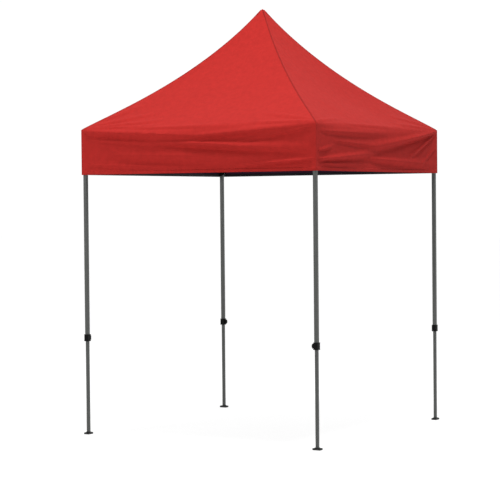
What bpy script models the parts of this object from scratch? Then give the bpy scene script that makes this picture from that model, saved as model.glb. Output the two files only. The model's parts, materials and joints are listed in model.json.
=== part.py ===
"""Pop up canopy: a square straight-leg folding frame with a fabric roof and valance.

Metres, +Z up, feet on z = 0, front side towards -Y.
Each side of the frame is two scissor pairs between a corner leg, a pair of middle
connectors and the next leg. Four more pairs form a cross from the middle connectors
to an upper and a lower hub, and the lower hub carries the peak pole.
Everything repeats every quarter turn about Z, so each piece is placed in the frame
of its own side: +X along the side, -Y outwards.
"""

import math

import bmesh
import bpy
from mathutils import Matrix, Vector

# Overall size
SIDE = 1.830
HALF = SIDE / 2
EAVE_Z = 2.092
VALANCE = 0.309
RISE = 0.850
APEX_Z = EAVE_Z + RISE

# Roof shape
HIP_SAG = 0.094
PANEL_DISH = 0.014
PEAK_BLUNT = 0.015
FABRIC = 0.0012
ROOF_CELLS = 16
VALANCE_ROWS = 2

# Telescopic legs
OUTER_TUBE = 0.025
INNER_TUBE = 0.020
TUBE_WALL = 0.0012
STRUT_WALL = 0.0008
TUBE_EDGE = 0.0025
LEG_CENTRE = 0.8960
LEG_TOP = EAVE_Z - 0.006
OUTER_BOTTOM = 0.650
INNER_TOP = 0.920
SETTING_STEP = 0.080
SETTINGS = 3

# Scissor struts
STRUT_DEEP = 0.020
STRUT_THICK = 0.010
STRUT_END = 0.010
STRUT_ROUND = 0.006
LAYER = 0.0055
UPPER_PIN_Z = 2.062
LOWER_PIN_Z = 1.837
LEG_PIN = 0.0285
MID_PIN = 0.0225
ARM_PIN = 0.0265
HUB_PIN = LEG_PIN + MID_PIN - ARM_PIN
SPAN = LEG_CENTRE - LEG_PIN - MID_PIN
SPREAD = UPPER_PIN_Z - LOWER_PIN_Z
STRUT_LENGTH = math.hypot(SPAN, SPREAD)
STRUT_TILT = math.atan2(SPREAD, SPAN)

# Forks that hold the strut ends
LUG_GAP = 0.0004
LUG = 0.003
LUG_REACH = 0.008
LUG_HIGH = 0.018
CORE_HIGH = 0.020
LEDGE_INSET = 0.0003
RIVET_R = 0.006
RIVET_HIGH = 0.0018
SPACER_R = 0.009
CLEAR = 0.0003

# Slider with its pull pin, and collar with its button
SLEEVE = 0.032
SLEEVE_BORE = 0.0262
TOP_BRACKET = 0.028
SLIDER_HIGH = 0.062
SLIDER_DROP = 0.016
COLLAR_BOTTOM = 0.641
COLLAR_TOP = 0.688
HOUSING = (0.012, 0.022, 0.030)
BUTTON = (0.010, 0.013, 0.017)
BUTTON_PROUD = 0.005
BUTTON_TRAVEL = 0.004
SLIDER_PIN_R = 0.009
SLIDER_PIN_Z = -0.030

# Hubs, pole and feet
HUB_CORE = 0.0245
HUB_HIGH = 0.030
POLE_R = 0.008
POLE_BORE_R = 0.009
POLE_SEAT = 0.003
CAP_R = 0.016
CAP_DROP = 0.031
FOOT = 0.054
FOOT_WIDE = 0.038
FOOT_PLATE = 0.003
FOOT_COLLAR = 0.027
FOOT_COLLAR_HIGH = 0.014
STAKE_HOLE_R = 0.004
STAKE_HOLE_AT = 0.0203

SIDES = ("front", "right", "rear", "left")
CORNERS = ("front_right", "rear_right", "rear_left", "front_left")

for old in list(bpy.data.objects):
    bpy.data.objects.remove(old, do_unlink=True)

parts = bpy.data.collections.new("pop_up_canopy")
cutters = bpy.data.collections.new("cutters")
bpy.context.scene.collection.children.link(parts)
bpy.context.scene.collection.children.link(cutters)


def material(name, colour, roughness, metallic):
    """A Principled material with one flat colour."""
    made = bpy.data.materials.new(name)
    made.use_nodes = True
    shader = made.node_tree.nodes["Principled BSDF"]
    shader.inputs["Base Color"].default_value = (*colour, 1)
    shader.inputs["Roughness"].default_value = roughness
    shader.inputs["Metallic"].default_value = metallic
    made.diffuse_color = (*colour, 1)
    return made


red_polyester = material("red_polyester", (0.50, 0.030, 0.026), 0.75, 0.0)
grey_steel = material("grey_powder_coated_steel", (0.115, 0.118, 0.118), 0.45, 0.6)
strut_steel = material("dark_powder_coated_steel", (0.075, 0.077, 0.077), 0.45, 0.6)
black_nylon = material("black_nylon", (0.010, 0.010, 0.011), 0.50, 0.0)
foot_steel = material("foot_steel", (0.045, 0.043, 0.040), 0.50, 0.6)


def side_empty(name, index):
    """The frame of one side, turned a quarter turn from the one before it."""
    made = bpy.data.objects.new(name, None)
    parts.objects.link(made)
    made.rotation_euler = (0, 0, index * math.pi / 2)
    return made


side_frames = [side_empty(f"side_{name}", i) for i, name in enumerate(SIDES)]
bpy.context.view_layer.update()


def place(name, mesh, look, index=None, at=(0, 0, 0), turn=(0, 0, 0)):
    """One named piece in the frame of a side, or in the world."""
    made = bpy.data.objects.new(name, mesh)
    parts.objects.link(made)
    if not mesh.materials:
        mesh.materials.append(look)
    if index is not None:
        made.parent = side_frames[index]
    made.location = at
    made.rotation_euler = turn
    return made


def box(bm, size, at):
    """A box of this size centred here."""
    here = Matrix.Translation(at) @ Matrix.Diagonal((*size, 1))
    return bmesh.ops.create_cube(bm, size=1, matrix=here)["verts"]


def rod(bm, radius, length, at, axis, sides=8):
    """A capped cylinder centred here along an axis."""
    turned = Vector((0, 0, 1)).rotation_difference(Vector(axis)).to_matrix().to_4x4()
    here = Matrix.Translation(at) @ turned
    bmesh.ops.create_cone(
        bm, cap_ends=True, segments=sides, radius1=radius, radius2=radius,
        depth=length, matrix=here,
    )


def shape(*calls):
    """A temporary object whose mesh holds one closed form."""
    bm = bmesh.new()
    for call, *values in calls:
        call(bm, *values)
    mesh = bpy.data.meshes.new("form")
    bm.to_mesh(mesh)
    bm.free()
    made = bpy.data.objects.new("form", mesh)
    cutters.objects.link(made)
    made.hide_render = True
    made.display_type = "WIRE"
    return made


def modifier(obj, kind, **values):
    """Adds one modifier with its values."""
    made = obj.modifiers.new(kind.lower(), kind)
    for key, value in values.items():
        setattr(made, key, value)
    return made


def combined(base, joined=(), cut=()):
    """The mesh of base with closed forms joined to it and others cut away."""
    for operation, forms in (("UNION", joined), ("DIFFERENCE", cut)):
        for form in forms:
            modifier(base, "BOOLEAN", operation=operation, object=form, solver="EXACT")
    graph = bpy.context.evaluated_depsgraph_get()
    mesh = bpy.data.meshes.new_from_object(base.evaluated_get(graph))
    for used in (base, *joined, *cut):
        bpy.data.objects.remove(used, do_unlink=True)
    return mesh


def square_tube(width, low, high, x=0.0, y=0.0):
    """A square tube along Z with rounded edges, open at both ends."""
    bm = bmesh.new()
    box(bm, (width, width, high - low), (x, y, (low + high) / 2))
    upright = [e for e in bm.edges if abs(e.verts[0].co.z - e.verts[1].co.z) > 1e-6]
    bmesh.ops.bevel(
        bm, geom=upright, offset=TUBE_EDGE, offset_type="OFFSET", segments=2,
        profile=0.5, affect="EDGES", material=-1,
    )
    ends = [f for f in bm.faces if abs(f.normal.z) > 0.9]
    bmesh.ops.delete(bm, geom=ends, context="FACES_ONLY")
    mesh = bpy.data.meshes.new("tube")
    bm.to_mesh(mesh)
    bm.free()
    made = bpy.data.objects.new("tube", mesh)
    cutters.objects.link(made)
    modifier(made, "SOLIDIFY", thickness=TUBE_WALL, offset=-1, use_even_offset=True)
    return made


def strut(low, high, head_side, spacer):
    """The mesh of one scissor strut along X: a flat tube with a rivet head half way."""
    bm = bmesh.new()
    length = high - low + 2 * STRUT_END
    box(bm, (length, STRUT_THICK, STRUT_DEEP), ((low + high) / 2, 0, 0))
    ends = [
        e for e in bm.edges
        if abs(e.verts[0].co.x - e.verts[1].co.x) < 1e-6
        and abs(e.verts[0].co.z - e.verts[1].co.z) < 1e-6
    ]
    bmesh.ops.bevel(
        bm, geom=ends, offset=STRUT_ROUND, offset_type="OFFSET", segments=2,
        profile=0.5, affect="EDGES", material=-1,
    )
    tips = [f for f in bm.faces if abs(f.normal.x) > 0.99]
    bmesh.ops.delete(bm, geom=tips, context="FACES_ONLY")
    mesh = bpy.data.meshes.new("strut")
    bm.to_mesh(mesh)
    bm.free()
    base = bpy.data.objects.new("strut", mesh)
    cutters.objects.link(base)
    modifier(base, "SOLIDIFY", thickness=STRUT_WALL, offset=-1, use_even_offset=True)
    middle = (low + high) / 2
    sink = STRUT_WALL / 2
    head_y = head_side * (STRUT_THICK / 2 + (RIVET_HIGH - sink) / 2)
    joined = [
        shape((rod, RIVET_R, RIVET_HIGH + sink, (middle, head_y, 0), (0, 1, 0), 10))
    ]
    if spacer:
        high_y = 2 * LAYER - STRUT_THICK - CLEAR
        spacer_y = -head_side * (STRUT_THICK / 2 + (high_y - sink) / 2)
        joined.append(
            shape((rod, SPACER_R, high_y + sink, (middle, spacer_y, 0), (0, 1, 0), 10))
        )
    return combined(base, joined)


def fork(root, pin, along, across, centre):
    """The closed forms of a two-lug fork with its rivet heads.

    root and pin are distances from centre along the strut, and across is the
    direction through the lugs, whose middle lies at centre.
    """
    along = Vector(along)
    across = Vector(across)
    centre = Vector(centre)
    reach = pin + LUG_REACH
    forms = []
    for sign in (-1, 1):
        off = sign * (STRUT_THICK / 2 + LUG_GAP + LUG / 2)
        middle = centre + along * (root + reach) / 2 + across * off
        size = Vector([abs(c) for c in along * (reach - root) + across * LUG])
        size.z = LUG_HIGH
        forms.append(shape((box, size, middle)))
        head = sign * (STRUT_THICK / 2 + LUG_GAP + LUG + RIVET_HIGH / 2 - CLEAR)
        at = centre + along * pin + across * head
        forms.append(shape((rod, RIVET_R, RIVET_HIGH + CLEAR, at, across)))
    return forms


# Struts: the outer layer runs from a lower middle connector up to a leg top,
# the inner layer from an upper middle connector down to a slider.
strut_from_pin = strut(0, STRUT_LENGTH, -1, False)
strut_to_pin = strut(-STRUT_LENGTH, 0, -1, False)
strut_crossing = strut(-STRUT_LENGTH / 2, STRUT_LENGTH / 2, 1, True)
outer_y = -(LEG_CENTRE + LAYER)
inner_y = -(LEG_CENTRE - LAYER)
middle_z = (UPPER_PIN_Z + LOWER_PIN_Z) / 2
middle_x = MID_PIN + SPAN / 2
for i, side in enumerate(SIDES):
    place(
        f"strut_{side}_outer_a", strut_from_pin, strut_steel, i,
        (MID_PIN, outer_y, LOWER_PIN_Z), (0, -STRUT_TILT, 0),
    )
    place(
        f"strut_{side}_outer_b", strut_to_pin, strut_steel, i,
        (-MID_PIN, outer_y, LOWER_PIN_Z), (0, STRUT_TILT, 0),
    )
    place(
        f"strut_{side}_inner_a", strut_crossing, strut_steel, i,
        (middle_x, inner_y, middle_z), (0, STRUT_TILT, 0),
    )
    place(
        f"strut_{side}_inner_b", strut_crossing, strut_steel, i,
        (-middle_x, inner_y, middle_z), (0, -STRUT_TILT, 0),
    )
    place(
        f"arm_{side}_high", strut_from_pin, strut_steel, i,
        (-LAYER, -HUB_PIN, UPPER_PIN_Z), (0, STRUT_TILT, -math.pi / 2),
    )
    place(
        f"arm_{side}_low", strut_crossing, strut_steel, i,
        (LAYER, -(HUB_PIN + SPAN / 2), middle_z), (0, -STRUT_TILT, -math.pi / 2),
    )

# Middle connectors: a core with a fork each way along the side and one inwards
lug_edge = LAYER + STRUT_THICK / 2 + LUG_GAP + LUG
core_x = 0.007
for level, strut_layer, arm_layer in (("lower", -1, -1), ("upper", 1, 1)):
    back = lug_edge if strut_layer > 0 else 0.009
    front = -0.008 if strut_layer > 0 else -lug_edge
    core = shape((box, (2 * core_x, back - front, CORE_HIGH), (0, (back + front) / 2, 0)))
    side_low = -lug_edge if arm_layer < 0 else -core_x
    side_high = lug_edge if arm_layer > 0 else core_x
    ledge = shape(
        (box, (side_high - side_low, LUG - 2 * LEDGE_INSET, LUG_HIGH - 4 * LEDGE_INSET),
         ((side_low + side_high) / 2, back - LUG / 2, 0))
    )
    joined = [ledge]
    layer_y = strut_layer * LAYER
    joined += fork(core_x - 0.002, MID_PIN, (1, 0, 0), (0, 1, 0), (0, layer_y, 0))
    joined += fork(core_x - 0.002, MID_PIN, (-1, 0, 0), (0, 1, 0), (0, layer_y, 0))
    joined += fork(
        back - 0.002, ARM_PIN, (0, 1, 0), (1, 0, 0), (arm_layer * LAYER, 0, 0)
    )
    connector = combined(core, joined)
    level_z = LOWER_PIN_Z if level == "lower" else UPPER_PIN_Z
    for i, side in enumerate(SIDES):
        place(
            f"middle_connector_{side}_{level}", connector, black_nylon, i,
            (0, -LEG_CENTRE, level_z),
        )

# Hubs: four forks around a square core, with a bore for the peak pole
for level, arm_side in (("upper", -1), ("lower", 1)):
    core = shape((box, (HUB_CORE, HUB_CORE, HUB_HIGH), (0, 0, 0)))
    joined = []
    for i in range(4):
        turned = Matrix.Rotation(i * math.pi / 2, 3, "Z")
        along = turned @ Vector((0, -1, 0))
        across = turned @ Vector((1, 0, 0))
        centre = across * arm_side * LAYER
        joined += fork(HUB_CORE / 2 - 0.002, HUB_PIN, along, across, centre)
    if level == "upper":
        bore = shape((rod, POLE_BORE_R, 2 * HUB_HIGH, (0, 0, 0), (0, 0, 1), 16))
    else:
        floor = -HUB_HIGH / 2 + POLE_SEAT + HUB_HIGH
        bore = shape((rod, POLE_BORE_R, 2 * HUB_HIGH, (0, 0, floor), (0, 0, 1), 16))
    hub_z = UPPER_PIN_Z if level == "upper" else LOWER_PIN_Z
    place(f"hub_{level}", combined(core, joined, [bore]), black_nylon, None, (0, 0, hub_z))

# Peak pole: a round tube that stands in the lower hub, with a domed cap
pole_low = LOWER_PIN_Z - HUB_HIGH / 2 + POLE_SEAT + CLEAR
dome_z = APEX_Z - CAP_DROP
bm = bmesh.new()
bmesh.ops.create_cone(
    bm, cap_ends=False, segments=16, radius1=POLE_R, radius2=POLE_R,
    depth=dome_z - pole_low, matrix=Matrix.Translation((0, 0, (dome_z + pole_low) / 2)),
)
pole_mesh = bpy.data.meshes.new("pole")
bm.to_mesh(pole_mesh)
bm.free()
pole = bpy.data.objects.new("pole", pole_mesh)
cutters.objects.link(pole)
modifier(pole, "SOLIDIFY", thickness=TUBE_WALL, offset=-1)
bm = bmesh.new()
bmesh.ops.create_uvsphere(
    bm, u_segments=16, v_segments=8, radius=CAP_R, matrix=Matrix.Translation((0, 0, dome_z))
)
bmesh.ops.bisect_plane(
    bm, geom=[*bm.verts, *bm.edges, *bm.faces], plane_co=(0, 0, dome_z - 0.004),
    plane_no=(0, 0, -1), clear_outer=True,
)
bmesh.ops.holes_fill(bm, edges=[e for e in bm.edges if e.is_boundary])
dome_mesh = bpy.data.meshes.new("dome")
bm.to_mesh(dome_mesh)
bm.free()
dome = bpy.data.objects.new("dome", dome_mesh)
cutters.objects.link(dome)
place("peak_pole", combined(pole, [dome]), grey_steel)

# Legs: the leg of a side stands at its +X end, so its two inner faces look along -X
# and +Y. The outer struts of both sides meet its top, the inner ones its slider.
leg_x = LEG_CENTRE
leg_y = -LEG_CENTRE
top = square_tube(OUTER_TUBE, OUTER_BOTTOM, LEG_TOP)
bracket_z = LEG_TOP + 0.002 - TOP_BRACKET / 2
bracket = shape((box, (SLEEVE, SLEEVE, TOP_BRACKET), (0, 0, bracket_z)))
joined = [bracket]
lug_root = SLEEVE / 2 - 0.002
joined += fork(lug_root, LEG_PIN, (-1, 0, 0), (0, 1, 0), (0, -LAYER, UPPER_PIN_Z))
joined += fork(lug_root, LEG_PIN, (0, 1, 0), (1, 0, 0), (LAYER, 0, UPPER_PIN_Z))
pin_slot_z = (COLLAR_BOTTOM + COLLAR_TOP) / 2
slot = shape(
    (rod, 0.004, 0.010, (-OUTER_TUBE / 2, 0, pin_slot_z), (1, 0, 0), 12)
)
socket = shape(
    (box, (OUTER_TUBE - 0.002, OUTER_TUBE - 0.002, TOP_BRACKET),
     (0, 0, bracket_z - 0.003))
)
outer_leg = combined(top, joined, [slot, socket])

inner = square_tube(INNER_TUBE, FOOT_PLATE / 2, INNER_TOP)
plate = shape((box, (FOOT, FOOT_WIDE, FOOT_PLATE), (0, 0, FOOT_PLATE / 2)))
raised = shape((box, (FOOT_COLLAR, FOOT_COLLAR, FOOT_COLLAR_HIGH), (0, 0, FOOT_COLLAR_HIGH / 2)))
raised_bore = shape(
    (box, (INNER_TUBE - 0.001, INNER_TUBE - 0.001, FOOT_COLLAR_HIGH),
     (0, 0, FOOT_PLATE + FOOT_COLLAR_HIGH / 2))
)
cuts = [raised_bore]
for sign in (-1, 1):
    cuts.append(
        shape((rod, STAKE_HOLE_R, 0.02, (sign * STAKE_HOLE_AT, 0, 0), (0, 0, 1), 12))
    )
for step in range(SETTINGS):
    hole_z = pin_slot_z - step * SETTING_STEP
    cuts.append(shape((rod, 0.0035, 0.008, (-INNER_TUBE / 2, 0, hole_z), (1, 0, 0), 12)))
inner_leg = combined(inner, [plate, raised], cuts)

collar_mid = (COLLAR_BOTTOM + COLLAR_TOP) / 2
collar_high = COLLAR_TOP - COLLAR_BOTTOM
body = shape((box, (SLEEVE, SLEEVE, collar_high), (0, 0, collar_mid)))
house_x = -(SLEEVE + HOUSING[0]) / 2 + 0.001
housing = shape((box, (HOUSING[0] + 0.002, *HOUSING[1:]), (house_x, 0, collar_mid)))
upper_bore = shape(
    (box, (OUTER_TUBE + 2 * CLEAR, OUTER_TUBE + 2 * CLEAR, collar_high),
     (0, 0, OUTER_BOTTOM - CLEAR + collar_high / 2))
)
guide = INNER_TUBE + 0.0008
lower_bore = shape((box, (guide, guide, 0.2), (0, 0, COLLAR_BOTTOM)))
house_face = -(SLEEVE / 2 + HOUSING[0])
pocket = shape(
    (box, (0.020, BUTTON[1] + 2 * CLEAR, BUTTON[2] + 2 * CLEAR), (house_face, 0, collar_mid))
)
pin_bore = shape((rod, 0.004, 0.05, (house_face + 0.02, 0, collar_mid), (1, 0, 0), 12))
collar = combined(body, [housing], [upper_bore, lower_bore, pocket, pin_bore])

pad_x = house_face - BUTTON_PROUD + BUTTON[0] / 2
pad = shape((box, BUTTON, (pad_x, 0, collar_mid)))
pin_low = pad_x
pin_high = -(INNER_TUBE / 2 + BUTTON_TRAVEL + CLEAR)
pin = shape(
    (rod, 0.0032, pin_high - pin_low, ((pin_low + pin_high) / 2, 0, collar_mid), (1, 0, 0), 12)
)
leg_button = combined(pad, [pin])

slider_mid = -SLIDER_DROP
body = shape((box, (SLEEVE, SLEEVE, SLIDER_HIGH), (0, 0, slider_mid)))
joined = fork(SLEEVE / 2 - 0.002, LEG_PIN, (-1, 0, 0), (0, 1, 0), (0, LAYER, 0))
joined += fork(SLEEVE / 2 - 0.002, LEG_PIN, (0, 1, 0), (1, 0, 0), (-LAYER, 0, 0))
cuts = [shape((box, (SLEEVE_BORE, SLEEVE_BORE, 0.2), (0, 0, 0)))]
cuts.append(
    shape(
        (rod, SLIDER_PIN_R - 0.003, 0.012, (-SLEEVE / 2, 0, SLIDER_PIN_Z), (1, 0, 0), 12)
    )
)
slider = combined(body, joined, cuts)

stem_low = -(SLEEVE / 2 + CLEAR + 0.003)
stem_high = -(SLEEVE_BORE / 2 + 0.0002)
knob_x = -(SLEEVE / 2 + CLEAR + 0.002)
stem = shape(
    (rod, SLIDER_PIN_R - 0.0035, stem_high - stem_low,
     ((stem_low + stem_high) / 2, 0, SLIDER_PIN_Z), (1, 0, 0), 12)
)
knob = shape((rod, SLIDER_PIN_R, 0.004, (knob_x, 0, SLIDER_PIN_Z), (1, 0, 0), 16))
slider_pin = combined(knob, [stem])

for i, corner in enumerate(CORNERS):
    at = (leg_x, leg_y, 0)
    low = (leg_x, leg_y, LOWER_PIN_Z)
    place(f"outer_leg_{corner}", outer_leg, grey_steel, i, at)
    place(f"inner_leg_{corner}", inner_leg, grey_steel, i, at)
    place(f"height_collar_{corner}", collar, black_nylon, i, at)
    place(f"height_button_{corner}", leg_button, black_nylon, i, at)
    place(f"slider_{corner}", slider, black_nylon, i, low)
    place(f"slider_pin_{corner}", slider_pin, black_nylon, i, low)


# Roof and valance: one fabric skin, drawn up to the peak by the pole. The hips hang
# below the straight line from peak to corner, and each panel dips between its hips.
def fall(ring, spread):
    """How far the roof lies below the peak on the ring at this share of the half side."""
    soft = math.hypot(ring, PEAK_BLUNT) - PEAK_BLUNT
    soft = min(1.0, soft / (math.hypot(1, PEAK_BLUNT) - PEAK_BLUNT))
    bow = soft**0.8 * (1 - soft) ** 1.2 / (0.4**0.8 * 0.6**1.2)
    dish = PANEL_DISH * (0.7 * math.sin(math.pi * soft) + soft) * (1 - spread**2)
    return RISE * soft + HIP_SAG * bow + dish


bm = bmesh.new()
bmesh.ops.create_grid(bm, x_segments=ROOF_CELLS, y_segments=ROOF_CELLS, size=HALF)
for v in bm.verts:
    ring = max(abs(v.co.x), abs(v.co.y)) / HALF
    spread = min(abs(v.co.x), abs(v.co.y)) / (ring * HALF) if ring > 0 else 1.0
    v.co.z = APEX_Z - fall(ring, spread)
for cell in list(bm.faces):
    nearest = min(cell.verts, key=lambda v: abs(v.co.x) + abs(v.co.y))
    furthest = max(cell.verts, key=lambda v: abs(v.co.x) + abs(v.co.y))
    bmesh.utils.face_split(cell, nearest, furthest)
edge = [e for e in bm.edges if e.is_boundary]
for row in range(1, VALANCE_ROWS + 1):
    made = bmesh.ops.extrude_edge_only(bm, edges=edge)["geom"]
    edge = [e for e in made if isinstance(e, bmesh.types.BMEdge) and e.is_boundary]
    for v in {v for e in edge for v in e.verts}:
        spread = min(abs(v.co.x), abs(v.co.y)) / HALF
        eave = APEX_Z - fall(1.0, spread)
        v.co.z = eave + (EAVE_Z - VALANCE - eave) * row / VALANCE_ROWS
bmesh.ops.recalc_face_normals(bm, faces=bm.faces)
top_face = max(bm.faces, key=lambda f: f.calc_center_median().z)
if top_face.normal.z < 0:
    bmesh.ops.reverse_faces(bm, faces=bm.faces)
roof = bpy.data.meshes.new("canopy_cover")
bm.to_mesh(roof)
bm.free()
cover = place("canopy_cover", roof, red_polyester)
modifier(cover, "SOLIDIFY", thickness=FABRIC, offset=-1, use_even_offset=True)

for obj in parts.objects:
    if obj.type == "MESH":
        obj.data.shade_smooth()
        obj.data.set_sharp_from_angle(angle=math.radians(35))
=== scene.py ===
"""Looks of a square pop up canopy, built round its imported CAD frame."""

import math
import json

import bmesh
import bpy
from mathutils import Matrix, Vector, noise

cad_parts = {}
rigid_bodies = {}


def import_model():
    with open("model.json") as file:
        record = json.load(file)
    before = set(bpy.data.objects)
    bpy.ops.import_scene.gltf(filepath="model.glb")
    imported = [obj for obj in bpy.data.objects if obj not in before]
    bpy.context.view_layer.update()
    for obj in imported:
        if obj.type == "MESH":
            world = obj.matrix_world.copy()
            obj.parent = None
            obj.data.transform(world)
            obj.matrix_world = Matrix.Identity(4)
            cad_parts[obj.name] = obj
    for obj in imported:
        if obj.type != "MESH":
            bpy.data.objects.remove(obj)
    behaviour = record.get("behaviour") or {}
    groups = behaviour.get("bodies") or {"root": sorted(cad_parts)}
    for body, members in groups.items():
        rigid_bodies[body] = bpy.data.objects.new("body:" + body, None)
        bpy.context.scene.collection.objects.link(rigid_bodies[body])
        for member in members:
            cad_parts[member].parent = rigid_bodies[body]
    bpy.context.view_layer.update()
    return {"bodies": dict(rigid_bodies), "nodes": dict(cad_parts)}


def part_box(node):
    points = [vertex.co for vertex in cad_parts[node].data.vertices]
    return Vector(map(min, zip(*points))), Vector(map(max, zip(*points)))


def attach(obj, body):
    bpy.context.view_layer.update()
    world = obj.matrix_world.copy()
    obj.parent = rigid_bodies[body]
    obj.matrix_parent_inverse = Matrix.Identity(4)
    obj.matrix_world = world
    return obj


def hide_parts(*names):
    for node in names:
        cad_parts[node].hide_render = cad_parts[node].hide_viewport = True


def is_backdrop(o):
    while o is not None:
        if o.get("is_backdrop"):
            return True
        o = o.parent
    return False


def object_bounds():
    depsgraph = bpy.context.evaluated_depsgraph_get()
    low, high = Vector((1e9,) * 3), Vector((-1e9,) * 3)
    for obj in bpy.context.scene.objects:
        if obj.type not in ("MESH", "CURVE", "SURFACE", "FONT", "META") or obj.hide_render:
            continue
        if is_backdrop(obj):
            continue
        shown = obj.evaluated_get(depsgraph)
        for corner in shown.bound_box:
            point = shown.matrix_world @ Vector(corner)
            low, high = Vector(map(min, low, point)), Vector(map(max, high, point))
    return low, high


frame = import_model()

CORNERS = ("front_right", "rear_right", "rear_left", "front_left")
SIDES = ("front", "right", "rear", "left")

# --- Studio -----------------------------------------------------------------------
# A seamless pale floor and backdrop under a sky that is brightest behind, with one soft
# lamp overhead and a weaker one in front on the left, as in a product studio.
CAMERA_AT = (6.363, -10.972, 1.588)
CAMERA_TURN = -30.58
CAMERA_PITCH = -1.53
CAMERA_ROLL = -0.53
CAMERA_LENS = 129.6
SKY_BRIGHTEST = (-0.45, 0.80, 0.40)
FLOOR_HALF = 60
FLOOR_BELOW_FEET = 0.0005

scene = bpy.context.scene
scene.view_settings.view_transform = "Standard"


def linear(hex_colour):
    """An sRGB hex colour as the linear values that shaders take."""
    values = []
    for i in (0, 2, 4):
        c = int(hex_colour[i:i + 2], 16) / 255
        values.append(c / 12.92 if c <= 0.04045 else ((c + 0.055) / 1.055) ** 2.4)
    return (*values, 1.0)


def add_node(tree, kind, settings=None, links=None, **inputs):
    """Adds a node with its settings, socket values and incoming links."""
    made = tree.nodes.new(kind)
    for key, value in (settings or {}).items():
        setattr(made, key, value)
    for key, value in inputs.items():
        made.inputs[key.replace("_", " ")].default_value = value
    for key, source in (links or {}).items():
        tree.links.new(source, made.inputs[key])
    return made


def new_material(name, base, roughness, metallic=0.0, **values):
    """A Principled material with its constants set on the shader's own sockets."""
    made = bpy.data.materials.new(name)
    made.use_nodes = True
    shader = made.node_tree.nodes["Principled BSDF"]
    shader.inputs["Base Color"].default_value = linear(base)
    shader.inputs["Roughness"].default_value = roughness
    shader.inputs["Metallic"].default_value = metallic
    for key, value in values.items():
        shader.inputs[key.replace("_", " ")].default_value = value
    return made, made.node_tree, shader


camera = bpy.data.objects.new("camera", bpy.data.cameras.new("camera"))
scene.collection.objects.link(camera)
camera.data.lens = CAMERA_LENS
camera.data.clip_end = 200
camera.location = CAMERA_AT
turn = Matrix.Rotation(math.radians(-CAMERA_TURN), 3, "Z")
tilt = Matrix.Rotation(math.radians(90 + CAMERA_PITCH), 3, "X")
roll = Matrix.Rotation(math.radians(CAMERA_ROLL), 3, "Z")
camera.rotation_euler = (turn @ tilt @ roll).to_euler()
scene.camera = camera

# The sky is white behind and above, and dim in front, so that the valances stay in shade.
world = bpy.data.worlds.new("studio")
scene.world = world
world.use_nodes = True
sky = world.node_tree
toward = add_node(sky, "ShaderNodeTexCoord")
facing = add_node(
    sky, "ShaderNodeVectorMath", {"operation": "DOT_PRODUCT"}, {0: toward.outputs["Generated"]}
)
facing.inputs[1].default_value = SKY_BRIGHTEST
flag = add_node(
    sky, "ShaderNodeMapRange", {"interpolation_type": "SMOOTHSTEP"},
    {"Value": facing.outputs["Value"]},
    From_Min=-0.30, From_Max=0.75, To_Min=0.08, To_Max=1.03,
)
sky.links.new(flag.outputs["Result"], sky.nodes["Background"].inputs["Strength"])
sky.nodes["Background"].inputs["Color"].default_value = linear("FFFFFF")

for name, power, size, at, aim in (
    ("top_lamp", 410, 1.0, (1.9, -1.5, 8.3), (0, 0, 2.0)),
    ("key_lamp", 235, 1.4, (-3.5, -7.0, 4.8), (0, 0, 2.0)),
):
    lamp = bpy.data.objects.new(name, bpy.data.lights.new(name, "AREA"))
    lamp.data.energy = power
    lamp.data.size = size
    lamp.location = at
    lamp.rotation_euler = (Vector(aim) - Vector(at)).to_track_quat("-Z", "Y").to_euler()
    scene.collection.objects.link(lamp)

floor_look, _, shader = new_material("matt_studio_floor", "8A8A8A", 0.9, Emission_Strength=0.80)
shader.inputs["Emission Color"].default_value = linear("FFFFFF")
bm = bmesh.new()
bmesh.ops.create_grid(bm, x_segments=1, y_segments=1, size=FLOOR_HALF)
floor_mesh = bpy.data.meshes.new("studio_floor")
bm.to_mesh(floor_mesh)
bm.free()
floor_mesh.materials.append(floor_look)
floor = bpy.data.objects.new("studio_floor", floor_mesh)
floor.location.z = -FLOOR_BELOW_FEET
scene.collection.objects.link(floor)
floor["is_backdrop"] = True

# --- Canopy cover -----------------------------------------------------------------
# One skin of PU-coated polyester: four roof panels sewn together along the hips and
# a straight valance. The peak pole pulls it up and the four leg tops hold it out, so
# the hips hang in a curve, and long soft folds run out from each corner.
cover_low, cover_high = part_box("canopy_cover")
HALF = cover_high.x
PEAK_Z = cover_high.z
HEM_Z = cover_low.z
VALANCE = 0.309
EAVE_Z = HEM_Z + VALANCE
RISE = PEAK_Z - EAVE_Z
HIP_SAG = 0.094
PANEL_DISH = 0.014
PEAK_BLUNT = 0.012
CLOTH_THICK = 0.0008
HALF_CELLS = 66
VALANCE_ROWS = 44
EAVE_ROUND = 0.012
EAVE_ROUND_MIDDLE = 0.034
VALANCE_BILLOW = 0.004

# How the cover closes: how far each leg moves inwards along X and Y, the room kept round
# the pole's cap, the pleats in half a side, and how far they stand out as a share.
LEG_DRAWN = 0.790
CAP_CLEAR = 0.021
PLEATS = 3.5
PLEAT_DEPTH = 0.10

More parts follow.
